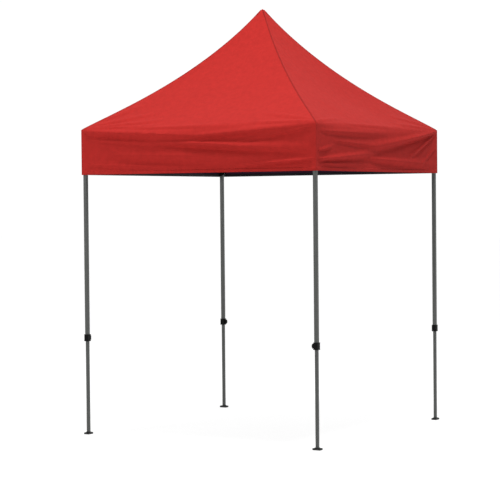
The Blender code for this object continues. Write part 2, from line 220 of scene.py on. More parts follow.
# Each fold is a long soft ridge: from and to (along the side, down from the eave),
# its half width and its height, all in metres.
FOLDS = {
    "front": (
        (-0.88, 0.012, 0.12, 0.050, 0.028, 0.0095),
        (0.02, 0.050, 0.90, 0.010, 0.026, 0.0085),
        (-0.30, 0.088, 0.89, 0.158, 0.022, 0.0105),
        (-0.66, 0.172, 0.84, 0.218, 0.036, 0.0060),
        (0.912, 0.232, 0.26, 0.262, 0.010, 0.0062),
        (-0.80, 0.070, -0.15, 0.100, 0.014, 0.0040),
        (-0.50, 0.020, 0.30, 0.070, 0.010, 0.0026),
        (0.20, 0.120, 0.905, 0.186, 0.010, 0.0034),
        (0.88, 0.030, 0.30, 0.100, 0.010, 0.0036),
        (-0.86, 0.246, 0.10, 0.262, 0.012, 0.0026),
        (-0.89, -0.012, -0.32, -0.052, 0.011, 0.0034),
        (-0.88, -0.022, -0.26, -0.120, 0.013, 0.0038),
        (-0.87, -0.040, -0.36, -0.220, 0.016, 0.0032),
        (-0.86, -0.070, -0.52, -0.330, 0.018, 0.0026),
        (-0.60, -0.015, 0.25, -0.030, 0.014, 0.0026),
        (0.89, -0.012, 0.34, -0.046, 0.012, 0.0034),
        (0.87, -0.035, 0.42, -0.165, 0.014, 0.0028),
    ),
    "right": (
        (0.905, 0.010, -0.28, 0.152, 0.022, 0.0105),
        (0.905, 0.022, 0.42, 0.200, 0.013, 0.0060),
        (-0.90, 0.236, -0.05, 0.176, 0.017, 0.0085),
        (-0.905, 0.182, -0.70, 0.146, 0.008, 0.0048),
        (-0.25, 0.216, 0.90, 0.246, 0.022, 0.0062),
        (-0.86, 0.052, 0.10, 0.034, 0.018, 0.0042),
        (-0.70, 0.110, 0.05, 0.128, 0.014, 0.0030),
        (0.90, 0.120, 0.60, 0.262, 0.010, 0.0030),
        (-0.88, 0.262, -0.30, 0.252, 0.010, 0.0030),
        (0.89, -0.014, 0.30, -0.075, 0.013, 0.0034),
        (0.87, -0.040, 0.40, -0.190, 0.016, 0.0030),
        (-0.89, -0.012, -0.46, -0.085, 0.012, 0.0030),
        (-0.50, -0.020, 0.40, -0.028, 0.014, 0.0024),
    ),
}
FOLDS["rear"] = tuple((-a, b, -c, d, w, h) for a, b, c, d, w, h in FOLDS["front"])
FOLDS["left"] = tuple((-a, b, -c, d, w, h) for a, b, c, d, w, h in FOLDS["right"])


def smooth(x):
    """0 below 0, 1 above 1 and a smooth step between."""
    x = max(0.0, min(1.0, x))
    return x * x * (3 - 2 * x)


def fall(ring, spread):
    """How far the roof lies below the peak on the ring at this share of the half side."""
    soft = (math.hypot(ring, PEAK_BLUNT) - PEAK_BLUNT) / (math.hypot(1, PEAK_BLUNT) - PEAK_BLUNT)
    soft = min(1.0, soft)
    bow = soft**0.8 * (1 - soft) ** 1.2 / (0.4**0.8 * 0.6**1.2)
    dish = PANEL_DISH * (0.7 * math.sin(math.pi * soft) + soft) * (1 - spread**2)
    return RISE * soft + HIP_SAG * bow + dish


def fold_height(side, along, down):
    """The height of this side's folds at a place on the cloth."""
    total = 0.0
    for a, b, c, d, width, height in FOLDS[side]:
        run = Vector((c - a, d - b))
        here = Vector((along - a, down - b))
        share = here.dot(run) / run.length_squared
        if not 0.0 < share < 1.0:
            continue
        off = (here.y * run.x - here.x * run.y) / run.length * (1 if run.x > 0 else -1)
        off /= width * (0.55 + 0.75 * share)
        taper = math.sin(math.pi * share**0.7) ** 0.8
        total += height * taper * (math.exp(-off * off) - 0.55 * math.exp(-(off - 1.7) ** 2))
    return total


def cloth(side, along, ring, drop, lift=0.0):
    """A point of the cover in metres: along the side from -1 to 1, ring from the peak, 0,
    to the eave, 1, and drop below the eave. lift moves it off the cloth."""
    index = SIDES.index(side)
    a = along * HALF
    spread = min(1.0, abs(along) / ring) if ring > 0 else 1.0

    def roof(r):
        r = max(0.0, r)
        s = min(1.0, abs(along) / r) if r > 0 else 1.0
        return Vector((a, -r * HALF, PEAK_Z - fall(r, s)))

    slope = math.atan2(fall(1.0, spread) - fall(0.97, spread), 0.03 * HALF)
    corner = roof(1.0)
    if drop > 0:
        down = drop
        hem = HEM_Z - corner.z
        point = corner + Vector((0, 0, hem * drop / VALANCE))
    else:
        down = -(1 - ring) * HALF / math.cos(slope)
        point = roof(ring)
    corner_gap = (1 - abs(along)) * HALF
    bend = EAVE_ROUND + (EAVE_ROUND_MIDDLE - EAVE_ROUND) * smooth(corner_gap / 0.35)
    if abs(down) < bend and corner_gap > 0:
        s = (down + bend) / (2 * bend)
        before = roof(1 - bend * math.cos(slope) / HALF)
        after = corner - Vector((0, 0, bend))
        point = (1 - s) ** 2 * before + 2 * s * (1 - s) * corner + s**2 * after
    lean = smooth((down + bend) / (2 * bend))
    tilt = slope
    if ring <= 0.9:
        tilt = math.atan2(fall(ring + 0.02, spread) - fall(ring, spread), 0.02 * HALF)
    tilt += (math.pi / 2 - tilt) * lean
    out = Vector((0, -math.sin(tilt), math.cos(tilt)))
    hip_gap = (ring - abs(along)) * HALF if drop <= 0 else corner_gap
    hold = smooth(hip_gap / 0.05)
    height = hold * (2.0 if drop > 0 else 1.8) * fold_height(side, a, down)
    if drop > 0:
        height += VALANCE_BILLOW * smooth(corner_gap / 0.25) * smooth(drop / 0.06)
    turned = Matrix.Rotation(index * math.pi / 2, 3, "Z")
    seat = turned @ point
    height += hold * 0.0045 * noise.fractal(seat * 2.2 + Vector((7, 3, 1)), 1.0, 2.0, 2)
    height += smooth(hip_gap / 0.02) * 0.0007 * noise.fractal(seat * 13, 1.0, 2.0, 2)
    ridge = math.exp(-((hip_gap / 0.010) ** 2))
    if drop <= 0 and ring > 0.004:
        pull = math.exp(-ring * HALF / 0.16) * min(1.0, ring * HALF / 0.03)
        height += 0.0022 * pull * math.cos(20 * math.atan2(along, ring)) * (1 - ridge)
    return turned @ (point + out * (height + lift))


def gather(piece):
    """Lets a piece of the cover close up with the frame: the four legs draw it in, the
    pole's hub lets it down, and what is left over stands out in pleats along each side.
    The cloth stops clear of the closed frame and of the pole's cap."""
    shut = HALF - 0.97 * LEG_DRAWN
    pull = {f"leg_{c}": piece.vertex_groups.new(name=f"leg_{c}") for c in CORNERS}
    down = piece.vertex_groups.new(name="hub_lower")
    reach = dict(zip(CORNERS, ((1, -1), (1, 1), (-1, 1), (-1, -1))))
    for v in piece.data.vertices:
        x, y = v.co.x / HALF, v.co.y / HALF
        out = max(abs(x), abs(y), 1e-6)
        ring = min(1.0, out)
        across = min(abs(x), abs(y))
        wave = 0.5 - 0.5 * math.cos(2 * math.pi * PLEATS * across)
        pleat = PLEAT_DEPTH * wave * smooth((ring - across) / 0.10) * ring
        radius = ring * HALF
        closed = max(min(radius, CAP_CLEAR), radius * shut / HALF)
        draw = (1 - closed / radius) * HALF / LEG_DRAWN
        x, y = x * draw, y * draw
        if abs(x) > abs(y):
            x *= 1 - pleat
        else:
            y *= 1 - pleat
        x, y = max(-1.0, min(1.0, x)), max(-1.0, min(1.0, y))
        for corner, (sx, sy) in reach.items():
            pull[f"leg_{corner}"].add([v.index], (1 + sx * x) * (1 + sy * y) / 4, "REPLACE")
        sink = max(0.0, (v.co.z - EAVE_Z - 0.004) / RISE)
        sink -= 0.08 * math.sin(math.pi * ring) * wave
        down.add([v.index], max(0.0, min(1.0, sink)), "REPLACE")
    for group, body in [(f"leg_{c}", f"leg_{c}") for c in CORNERS] + [("hub_lower", "hub_lower")]:
        hook = piece.modifiers.new(f"follow_{body}", "HOOK")
        hook.object = frame["bodies"][body]
        hook.vertex_group = group
        hook.falloff_type = "NONE"
        hook.matrix_inverse = Matrix.Identity(4)


def finished(name, bm, look, body, smooth_angle=40):
    """Turns a bmesh into a named piece that rides on a body."""
    mesh = bpy.data.meshes.new(name)
    bm.to_mesh(mesh)
    bm.free()
    for one in look if isinstance(look, (list, tuple)) else [look]:
        mesh.materials.append(one)
    made = bpy.data.objects.new(name, mesh)
    scene.collection.objects.link(made)
    mesh.shade_smooth()
    mesh.set_sharp_from_angle(angle=math.radians(smooth_angle))
    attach(made, body)
    return made


def woven(name, base, deep, thread_mm, roughness, sheen):
    """Plain-woven polyester: over-and-under threads from the piece's UV map, which is in
    metres, with a slow mottle where the cloth has taken the light unevenly."""
    made, tree, shader = new_material(name, base, roughness, Sheen_Weight=sheen)
    shader.inputs["Sheen Roughness"].default_value = 0.5
    shader.inputs["Specular IOR Level"].default_value = 0.14
    place = add_node(tree, "ShaderNodeUVMap", {"uv_map": "cut"})
    split = add_node(tree, "ShaderNodeSeparateXYZ", links={"Vector": place.outputs["UV"]})
    turns = 2 * math.pi / (thread_mm / 1000)
    waves = []
    for axis in ("X", "Y"):
        phase = add_node(
            tree, "ShaderNodeMath", {"operation": "MULTIPLY"}, {0: split.outputs[axis]}
        )
        phase.inputs[1].default_value = turns
        waves.append(
            add_node(tree, "ShaderNodeMath", {"operation": "SINE"}, {0: phase.outputs[0]})
        )
    weave = add_node(
        tree, "ShaderNodeMath", {"operation": "MULTIPLY"},
        {0: waves[0].outputs[0], 1: waves[1].outputs[0]},
    )
    spot = add_node(tree, "ShaderNodeTexCoord")
    slub = add_node(
        tree, "ShaderNodeTexNoise", {}, {"Vector": spot.outputs["Object"]},
        Scale=260.0, Detail=3.0, Roughness=0.6,
    )
    mottle = add_node(
        tree, "ShaderNodeTexNoise", {}, {"Vector": spot.outputs["Object"]},
        Scale=30.0, Detail=6.0, Roughness=0.62,
    )
    shade = add_node(
        tree, "ShaderNodeMath", {"operation": "MULTIPLY_ADD"},
        {0: slub.outputs["Fac"], 2: mottle.outputs["Fac"]},
    )
    shade.inputs[1].default_value = 0.55
    spread = add_node(
        tree, "ShaderNodeMapRange", {}, {"Value": shade.outputs[0]},
        From_Min=0.45, From_Max=1.10, To_Min=0.0, To_Max=1.0,
    )
    mixed = add_node(
        tree, "ShaderNodeMix", {"data_type": "RGBA"}, {0: spread.outputs["Result"]}
    )
    mixed.inputs[6].default_value = linear(deep)
    mixed.inputs[7].default_value = linear(base)
    tree.links.new(mixed.outputs[2], shader.inputs["Base Color"])
    relief = add_node(
        tree, "ShaderNodeMath", {"operation": "MULTIPLY_ADD"},
        {0: weave.outputs[0], 2: slub.outputs["Fac"]},
    )
    relief.inputs[1].default_value = 0.5
    bump = add_node(
        tree, "ShaderNodeBump", {}, {"Height": relief.outputs[0]}, Strength=0.35, Distance=0.0003
    )
    tree.links.new(bump.outputs["Normal"], shader.inputs["Normal"])
    return made


# 300-denier yarn lies about 0.5 mm apart. It is drawn at 1 mm so that it shows.
red_cloth = woven("red_polyester_oxford", "B22723", "9E211D", 1.0, 0.9, 0.0)
# The inner face is coloured a dark purple: painted shade for the inside of the cover.
painted_shade_inner_face = woven("inner_face_painted_shade", "34132A", "280E20", 1.0, 0.7, 0.0)


def cut_map(bm, place_of):
    """The cloth's own flat map, in metres, so that the threads run along each panel."""
    layer = bm.loops.layers.uv.new("cut")
    for face in bm.faces:
        for loop in face.loops:
            loop[layer].uv = place_of(face, loop.vert)


def ring_share(step):
    """Rings lie closer together towards the eave, where the folds are."""
    return 1 - (1 - step) ** 1.2


bm = bmesh.new()
bmesh.ops.create_grid(bm, x_segments=2 * HALF_CELLS, y_segments=2 * HALF_CELLS, size=1)
for cell in list(bm.faces):
    centre = cell.calc_center_median()
    if abs(abs(centre.x) - abs(centre.y)) < 0.2 / HALF_CELLS:
        near = min(cell.verts, key=lambda v: abs(v.co.x) + abs(v.co.y))
        far = max(cell.verts, key=lambda v: abs(v.co.x) + abs(v.co.y))
        bmesh.utils.face_split(cell, near, far)
rows = {v: 0 for v in bm.verts}
edge = [e for e in bm.edges if e.is_boundary]
for row in range(1, VALANCE_ROWS + 1):
    made = bmesh.ops.extrude_edge_only(bm, edges=edge)["geom"]
    edge = [e for e in made if isinstance(e, bmesh.types.BMEdge) and e.is_boundary]
    for e in edge:
        for v in e.verts:
            rows[v] = row


def side_of(x, y):
    """Which side a place in plan belongs to, and how far along that side it is."""
    if abs(x) > abs(y):
        return ("right", y) if x > 0 else ("left", -y)
    return ("rear", -x) if y > 0 else ("front", x)


flat = {}
for v in list(bm.verts):
    step = min(1.0, max(abs(v.co.x), abs(v.co.y)))
    side, along = side_of(v.co.x, v.co.y)
    ring = ring_share(step)
    along = along / step * ring if step > 0 else 0.0
    drop = VALANCE * rows[v] / VALANCE_ROWS
    flat[v] = (v.co.x * ring / step if step else 0.0, v.co.y * ring / step if step else 0.0, drop)
    v.co = cloth(side, along, ring, drop)
bmesh.ops.recalc_face_normals(bm, faces=bm.faces)
if max(bm.faces, key=lambda f: f.calc_center_median().z).normal.z < 0:
    bmesh.ops.reverse_faces(bm, faces=bm.faces)


def cut_place(face, v):
    """Along the eave and up the slope on a roof panel, or down on a valance."""
    xs = [flat[w][0] for w in face.verts]
    ys = [flat[w][1] for w in face.verts]
    middle = (sum(xs), sum(ys))
    if abs(abs(middle[0]) - abs(middle[1])) <= 1e-6:
        middle = (xs[0], ys[0])
    side, _ = side_of(*middle)
    x, y, drop = flat[v]
    along = {"front": x, "right": y, "rear": -x, "left": -y}[side]
    ring = max(abs(x), abs(y))
    return (along * HALF, (ring * 1.36 * HALF + drop) + 3 * SIDES.index(side))


cut_map(bm, cut_place)
cover = finished("cover", bm, [red_cloth, painted_shade_inner_face], "root", 60)
gather(cover)
skin = cover.modifiers.new("two_faces", "SOLIDIFY")
skin.thickness = CLOTH_THICK
skin.offset = -1
# The inner faces take the dark purple that paints the shade inside the cover.
skin.material_offset = 1
skin.material_offset_rim = 0
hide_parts("canopy_cover")

# --- Seams and hems ---------------------------------------------------------------
# The panels meet in felled seams: a doubled band of the same cloth with two rows of
# stitching, down each hip and on down the valance corner. The valance ends in a
# turned-up hem, with a black band inside it along the bottom edge.
SEAM_WIDE = 0.013
SEAM_PROUD = 0.0009
HEM_DEEP = 0.024
HEM_PROUD = 0.0008
STITCH_MM = 4.0
STITCH_HALF_WIDE = 0.0009
SEAM_ROWS = (0.0025, SEAM_WIDE - 0.0025)
HEM_ROWS = (0.003, HEM_DEEP - 0.003)
HIP_STEPS = 120
CORNER_STEPS = 24
HEM_STEPS = 96
HEM_COLUMNS = 5


def stitched(name, base, deep, rows_at, width):
    """Woven cloth with rows of lock stitch: thread pulled down into small dents."""
    made = woven(name, base, deep, 1.0, 0.9, 0.0)
    tree = made.node_tree
    shader = tree.nodes["Principled BSDF"]
    bump = tree.nodes["Bump"]
    split = tree.nodes["Separate XYZ"]
    dents = None
    for at in rows_at:
        off = add_node(tree, "ShaderNodeMath", {"operation": "SUBTRACT"}, {0: split.outputs["Y"]})
        off.inputs[1].default_value = at
        near = add_node(tree, "ShaderNodeMath", {"operation": "ABSOLUTE"}, {0: off.outputs[0]})
        line = add_node(
            tree, "ShaderNodeMapRange", {}, {"Value": near.outputs[0]},
            From_Min=width, From_Max=0.0, To_Min=0.0, To_Max=1.0,
        )
        dents = line if dents is None else add_node(
            tree, "ShaderNodeMath", {"operation": "MAXIMUM"},
            {0: dents.outputs[0], 1: line.outputs[0]},
        )
    beat = add_node(tree, "ShaderNodeMath", {"operation": "MULTIPLY"}, {0: split.outputs["X"]})
    beat.inputs[1].default_value = 2 * math.pi / (STITCH_MM / 1000)
    wave = add_node(tree, "ShaderNodeMath", {"operation": "SINE"}, {0: beat.outputs[0]})
    on = add_node(
        tree, "ShaderNodeMapRange", {}, {"Value": wave.outputs[0]},
        From_Min=-0.9, From_Max=-0.4, To_Min=0.25, To_Max=1.0,
    )
    thread = add_node(
        tree, "ShaderNodeMath", {"operation": "MULTIPLY"},
        {0: dents.outputs[0], 1: on.outputs[0]},
    )
    dark = add_node(
        tree, "ShaderNodeMix", {"data_type": "RGBA"}, {0: thread.outputs[0]}
    )
    source = shader.inputs["Base Color"].links[0].from_socket
    tree.links.new(source, dark.inputs[6])
    dark.inputs[7].default_value = linear("8C1B18")
    tree.links.new(dark.outputs[2], shader.inputs["Base Color"])
    second = add_node(
        tree, "ShaderNodeBump", {"invert": True},
        {"Height": thread.outputs[0], "Normal": bump.outputs["Normal"]},
        Strength=0.8, Distance=0.0006,
    )
    tree.links.new(second.outputs["Normal"], shader.inputs["Normal"])
    return made


# The hip seam band is the same cloth coloured darker: painted shade along the hips.
hip_seam_painted_shade = stitched("red_polyester_hip_seam_painted_shade", "941F1B", "861A17", SEAM_ROWS, STITCH_HALF_WIDE)
corner_cloth = stitched(
    "red_polyester_corner_seam", "B22723", "9E211D", SEAM_ROWS, STITCH_HALF_WIDE
)
hem_cloth = stitched("red_polyester_hem", "B22723", "9E211D", HEM_ROWS, STITCH_HALF_WIDE)


def strip(columns, points):
    """A narrow band of cloth through rows of points, each row a list across the band."""
    bm = bmesh.new()
    bmesh.ops.create_grid(bm, x_segments=len(points) - 1, y_segments=columns - 1, size=1)
    ordered = sorted(bm.verts, key=lambda v: (round(v.co.x, 5), round(v.co.y, 5)))
    places = {}
    run = 0.0
    for i, row in enumerate(points):
        if i:
            middle = len(row) // 2
            run += (Vector(row[middle]) - Vector(points[i - 1][middle])).length
        across = 0.0
        for j, point in enumerate(row):
            v = ordered[i * columns + j]
            if j:
                across += (Vector(point) - Vector(row[j - 1])).length
            places[v] = (run, across)
            v.co = point
    cut_map(bm, lambda face, v: places[v])
    return bm


def outwards(bm, middle):
    """Turns a band's faces so that they look away from a point inside the cover."""
    bmesh.ops.recalc_face_normals(bm, faces=bm.faces)
    bm.faces.ensure_lookup_table()
    face = bm.faces[len(bm.faces) // 2]
    if face.normal.dot(face.calc_center_median() - middle) < 0:
        bmesh.ops.reverse_faces(bm, faces=bm.faces)


INSIDE = Vector((0, 0, EAVE_Z - 0.2))
for index, corner in enumerate(CORNERS):
    side = SIDES[index]
    after = SIDES[(index + 1) % 4]
    points = []
    offsets = (-1.0, -0.6, 0.0, 0.6, 1.0)
    for step in range(1, HIP_STEPS + 1):
        ring = ring_share(step / HIP_STEPS)
        row = []
        for o in offsets:
            gap = abs(o) * SEAM_WIDE / 2 / HALF
            lift = SEAM_PROUD if abs(o) < 1 else 0.0
            along = max(0.0, ring - gap * 1.2)
            here, at = (side, along) if o <= 0 else (after, -along)
            row.append(cloth(here, at, ring, 0, lift))
        points.append(row)
    bm = strip(len(offsets), points)
    outwards(bm, INSIDE)
    piece = finished(f"hip_seam_{corner}", bm, hip_seam_painted_shade, "root", 60)
    gather(piece)
    points = []
    for step in range(CORNER_STEPS + 1):
        drop = VALANCE * step / CORNER_STEPS
        row = []
        for o in offsets:
            gap = abs(o) * SEAM_WIDE / 2 / HALF
            lift = SEAM_PROUD if abs(o) < 1 else 0.0
            here, at = (side, 1 - gap) if o <= 0 else (after, -1 + gap)
            row.append(cloth(here, at, 1, drop, lift))
        points.append(row)
    bm = strip(len(offsets), points)
    outwards(bm, INSIDE)
    piece = finished(f"corner_seam_{corner}", bm, corner_cloth, "root", 60)
    gather(piece)

webbing = woven("black_webbing", "151318", "0E0C10", 1.6, 0.6, 0.1)
for index, side in enumerate(SIDES):
    # A black band lines the inside of each hem along the valance's bottom edge.
    for name, look, lift, deep, inside in (
        ("hem", hem_cloth, HEM_PROUD, HEM_DEEP, False),
        ("hem_inner_black_band", webbing, -CLOTH_THICK - 0.0009, HEM_DEEP - 0.004, True),
    ):
        points = []
        for step in range(HEM_STEPS + 1):
            along = -0.9985 + 1.997 * step / HEM_STEPS
            row = []
            for j in range(HEM_COLUMNS):
                drop = VALANCE - deep * (1 - j / (HEM_COLUMNS - 1))
                edge_lift = lift * (0.15 if j == 0 and not inside else 1.0)
                row.append(cloth(side, along, 1, drop, edge_lift))
            points.append(row)
        bm = strip(HEM_COLUMNS, points)
        outwards(bm, INSIDE)
        if inside:
            bmesh.ops.reverse_faces(bm, faces=bm.faces)
        piece = finished(f"{name}_{side}", bm, look, "root", 60)
        gather(piece)
        band = piece.modifiers.new("two_faces", "SOLIDIFY")
        band.thickness = 0.0006
        band.offset = -1


# --- Frame metals and plastics ----------------------------------------------------
# Square steel tube, zinc-washed and powder coated in a mid grey with the faint
# orange-peel texture of baked powder, and scuffed a little lighter in random patches.
def powder_coat(name, base, scuff, roughness):
    """Baked polyester powder on steel tube."""
    made, tree, shader = new_material(name, base, roughness)
    spot = add_node(tree, "ShaderNodeTexCoord")
    peel = add_node(
        tree, "ShaderNodeTexNoise", {}, {"Vector": spot.outputs["Object"]},
        Scale=420.0, Detail=2.0, Roughness=0.5,
    )
    worn = add_node(
        tree, "ShaderNodeTexNoise", {}, {"Vector": spot.outputs["Object"]},
        Scale=34.0, Detail=5.0, Roughness=0.7,
    )
    mask = add_node(
        tree, "ShaderNodeMapRange", {}, {"Value": worn.outputs["Fac"]},
        From_Min=0.56, From_Max=0.80, To_Min=0.0, To_Max=0.45,
    )
    mixed = add_node(tree, "ShaderNodeMix", {"data_type": "RGBA"}, {0: mask.outputs["Result"]})
    mixed.inputs[6].default_value = linear(base)
    mixed.inputs[7].default_value = linear(scuff)
    tree.links.new(mixed.outputs[2], shader.inputs["Base Color"])
    dull = add_node(
        tree, "ShaderNodeMapRange", {}, {"Value": worn.outputs["Fac"]},
        From_Min=0.3, From_Max=0.7, To_Min=roughness - 0.07, To_Max=roughness + 0.10,
    )
    tree.links.new(dull.outputs["Result"], shader.inputs["Roughness"])
    bump = add_node(
        tree, "ShaderNodeBump", {}, {"Height": peel.outputs["Fac"]}, Strength=0.25, Distance=0.0004
    )
    tree.links.new(bump.outputs["Normal"], shader.inputs["Normal"])
    return made


def moulded(name, base, roughness):
    """Injection-moulded glass-filled nylon: a fine spark-eroded grain and a dull sheen."""
    made, tree, shader = new_material(name, base, roughness, IOR=1.53)
    shader.inputs["Specular IOR Level"].default_value = 0.10
    spot = add_node(tree, "ShaderNodeTexCoord")
    grain = add_node(
        tree, "ShaderNodeTexNoise", {}, {"Vector": spot.outputs["Object"]},
        Scale=900.0, Detail=2.0, Roughness=0.6,
    )
    dust = add_node(
        tree, "ShaderNodeTexNoise", {}, {"Vector": spot.outputs["Object"]},
        Scale=40.0, Detail=4.0, Roughness=0.6,
    )
    mixed = add_node(tree, "ShaderNodeMix", {"data_type": "RGBA"}, {0: dust.outputs["Fac"]})
    mixed.inputs[6].default_value = linear(base)
    mixed.inputs[7].default_value = linear("0B0B0C")
    tree.links.new(mixed.outputs[2], shader.inputs["Base Color"])
    bump = add_node(
        tree, "ShaderNodeBump", {}, {"Height": grain.outputs["Fac"]}, Strength=0.3, Distance=0.0002
    )
    tree.links.new(bump.outputs["Normal"], shader.inputs["Normal"])
    return made


leg_coat = powder_coat("grey_powder_coat", "4C4E4C", "5C5E5C", 0.42)
inner_coat = powder_coat("grey_powder_coat_inner_tube", "484A48", "585A58", 0.38)
strut_coat = powder_coat("dark_powder_coat", "4E504F", "626463", 0.45)
nylon = moulded("black_nylon", "080808", 0.5)


def looks(node, *materials):
    """Gives a carried CAD node its finish."""
    obj = frame["nodes"][node]
    obj.data.materials.clear()
    for one in materials:
        obj.data.materials.append(one)


for node in frame["nodes"]:
    if node.startswith(("strut_", "arm_")):
        looks(node, strut_coat)
    elif node.startswith("outer_leg_") or node == "peak_pole":
        looks(node, leg_coat)
    elif node.startswith("inner_leg_"):
        looks(node, inner_coat)
    elif node != "canopy_cover":
        looks(node, nylon)
        # Moulded parts leave the tool with their edges just broken.
        edge = frame["nodes"][node].modifiers.new("broken_edges", "BEVEL")
        edge.width = 0.0022 if node.startswith("height_button_") else 0.0006
        edge.segments = 3
        edge.limit_method = "ANGLE"
        edge.angle_limit = math.radians(50)

# --- Rivets -----------------------------------------------------------------------
# Zinc-plated rivets join the scissor frame: a low domed head stands on the outer faces of
# each joint, where the plain part has a flat one.
HEAD_R = 0.0066
HEAD_HIGH = 0.0016
CAD_HEAD = 0.0018
LEG_AT = 0.896
LAYER = 0.0055
SPAN = 0.845
LEG_PIN = 0.0285
MID_PIN = 0.0225
ARM_PIN = 0.0265
HUB_PIN = 0.0245
HEAD_SIDES = 16
UPPER_Z = 2.062
LOWER_Z = 1.837
LUG_FACE = 0.0102
TUBE_FACE = 0.005


def zinc(name, base, roughness):
    """Bright zinc plate, faintly clouded by handling."""
    made, tree, shader = new_material(name, base, roughness, 1.0)
    spot = add_node(tree, "ShaderNodeTexCoord")
    cloud = add_node(
        tree, "ShaderNodeTexNoise", {}, {"Vector": spot.outputs["Object"]},
        Scale=220.0, Detail=3.0, Roughness=0.6,
    )
    dull = add_node(
        tree, "ShaderNodeMapRange", {}, {"Value": cloud.outputs["Fac"]},
        From_Min=0.3, From_Max=0.7, To_Min=roughness - 0.08, To_Max=roughness + 0.12,
    )
    tree.links.new(dull.outputs["Result"], shader.inputs["Roughness"])
    return made


zinc_plate = zinc("zinc_plated_steel", "B9BBBA", 0.34)


def dome(bm, at, out):
    """A domed rivet head standing on a face at a point, with a rolled rim."""
    profile = (
        (HEAD_R * 0.92, -0.0002), (HEAD_R, 0.0003), (HEAD_R * 0.9, 0.0009),
        (HEAD_R * 0.6, 0.0014), (HEAD_R * 0.25, HEAD_HIGH),
    )
    aim = Vector(out).to_track_quat("Z", "Y").to_matrix()
    rings = []
    for r, h in profile:
        rings.append([
            bm.verts.new(Vector(at) + aim @ Vector((r * math.cos(t), r * math.sin(t), h)))
            for t in (2 * math.pi * i / HEAD_SIDES for i in range(HEAD_SIDES))
        ])
    for lower, upper in zip(rings, rings[1:]):
        for i in range(HEAD_SIDES):
            after = (i + 1) % HEAD_SIDES
            bm.faces.new((lower[i], lower[after], upper[after], upper[i]))
    bm.faces.new(rings[-1])
    bm.faces.new(list(reversed(rings[0])))


def rivet_heads(name, body, index, spots):
    """One piece with the rivet heads that a body carries, laid out for one side."""
    turned = Matrix.Rotation(index * math.pi / 2, 3, "Z")
    bm = bmesh.new()
    for at, out, face in spots:
        out = Vector(out)
        dome(bm, turned @ (Vector(at) + out * face), turned @ out)
    finished(name, bm, zinc_plate, body)


mid_z = (UPPER_Z + LOWER_Z) / 2
mid_x = MID_PIN + SPAN / 2
tube_top = TUBE_FACE + CAD_HEAD
lug_top = LUG_FACE - 0.0015
for i, side in enumerate(SIDES):
    for level, layer, z in (("lower", -1, LOWER_Z), ("upper", 1, UPPER_Z)):
        spots = []
        for x in (-MID_PIN, MID_PIN):
            for out in ((0, 1, 0), (0, -1, 0)):
                spots.append(((x, -LEG_AT + layer * LAYER, z), out, lug_top))
        for out in ((1, 0, 0), (-1, 0, 0)):
            spots.append(((layer * LAYER, -LEG_AT + ARM_PIN, z), out, lug_top))
        rivet_heads(f"rivets_middle_{side}_{level}", f"middle_{side}_{level}", i, spots)
    for half, x in (("a", mid_x), ("b", -mid_x)):
        for pair, sign in (("outer", -1), ("inner", 1)):
            at = (x, -(LEG_AT - sign * LAYER), mid_z)
            strut = f"{side}_{pair}_{half}"
            rivet_heads(f"rivet_{strut}", f"strut_{strut}", i, [(at, (0, sign, 0), tube_top)])
    at = (-LAYER, -(HUB_PIN + SPAN / 2), mid_z)
    rivet_heads(f"rivet_{side}_arm_high", f"arm_{side}_high", i, [(at, (-1, 0, 0), tube_top)])
    at = (LAYER, -(HUB_PIN + SPAN / 2), mid_z)
    rivet_heads(f"rivet_{side}_arm_low", f"arm_{side}_low", i, [(at, (1, 0, 0), tube_top)])
    corner = CORNERS[i]
    for name, body, layer, z in (
        ("leg_top", f"leg_{corner}", -1, UPPER_Z), ("slider", f"slider_{corner}", 1, LOWER_Z),
    ):
        along_x = (LEG_AT - LEG_PIN, -LEG_AT + layer * LAYER, z)
        along_y = (LEG_AT - layer * LAYER, -LEG_AT + LEG_PIN, z)
        spots = [(along_x, (0, s, 0), lug_top) for s in (1, -1)]
        spots += [(along_y, (s, 0, 0), lug_top) for s in (1, -1)]
        rivet_heads(f"rivets_{name}_{corner}", body, i, spots)
for name, body, layer, z in (
    ("hub_upper", "root", -1, UPPER_Z), ("hub_lower", "hub_lower", 1, LOWER_Z),
):
    turned = [Matrix.Rotation(i * math.pi / 2, 3, "Z") for i in range(4)]
    spots = []
    for t in turned:
        for s in (1, -1):
            spots.append((t @ Vector((layer * LAYER, -HUB_PIN, z)), t @ Vector((s, 0, 0)), lug_top))
    rivet_heads(f"rivets_{name}", body, 0, spots)


# --- Height collars ---------------------------------------------------------------
# A glass-filled nylon sleeve pushed over the end of the outer tube. Raised ribs stiffen
# both its ends, and black oxide screws on two faces hold it to the tube.
SLEEVE = 0.032
RIB_INSET = 0.0002
RIB_END = 0.0035
RIB_PROUD = 0.0012
RIB_ROUND = 0.0007
SCREW_FACE = 0.0163
SCREW_R = 0.0034
SCREW_HIGH = 0.0014
SCREW_SIDES = 20


def rounded_ring(bm, size, low, high, proud, at):
    """A square slab that stands proud of a sleeve all round, with softened edges. It is
    solid, so it also fills the sleeve's bore."""
    outer = size / 2 + proud
    made = bmesh.ops.create_cube(bm, size=1)["verts"]
    for v in made:
        v.co = Vector((
            at[0] + v.co.x * 2 * outer, at[1] + v.co.y * 2 * outer,
            low if v.co.z < 0 else high,
        ))
    edges = list({e for v in made for e in v.link_edges})
    bmesh.ops.bevel(
        bm, geom=edges, offset=RIB_ROUND, offset_type="OFFSET", segments=3, profile=0.5,
        affect="EDGES", material=-1,
    )


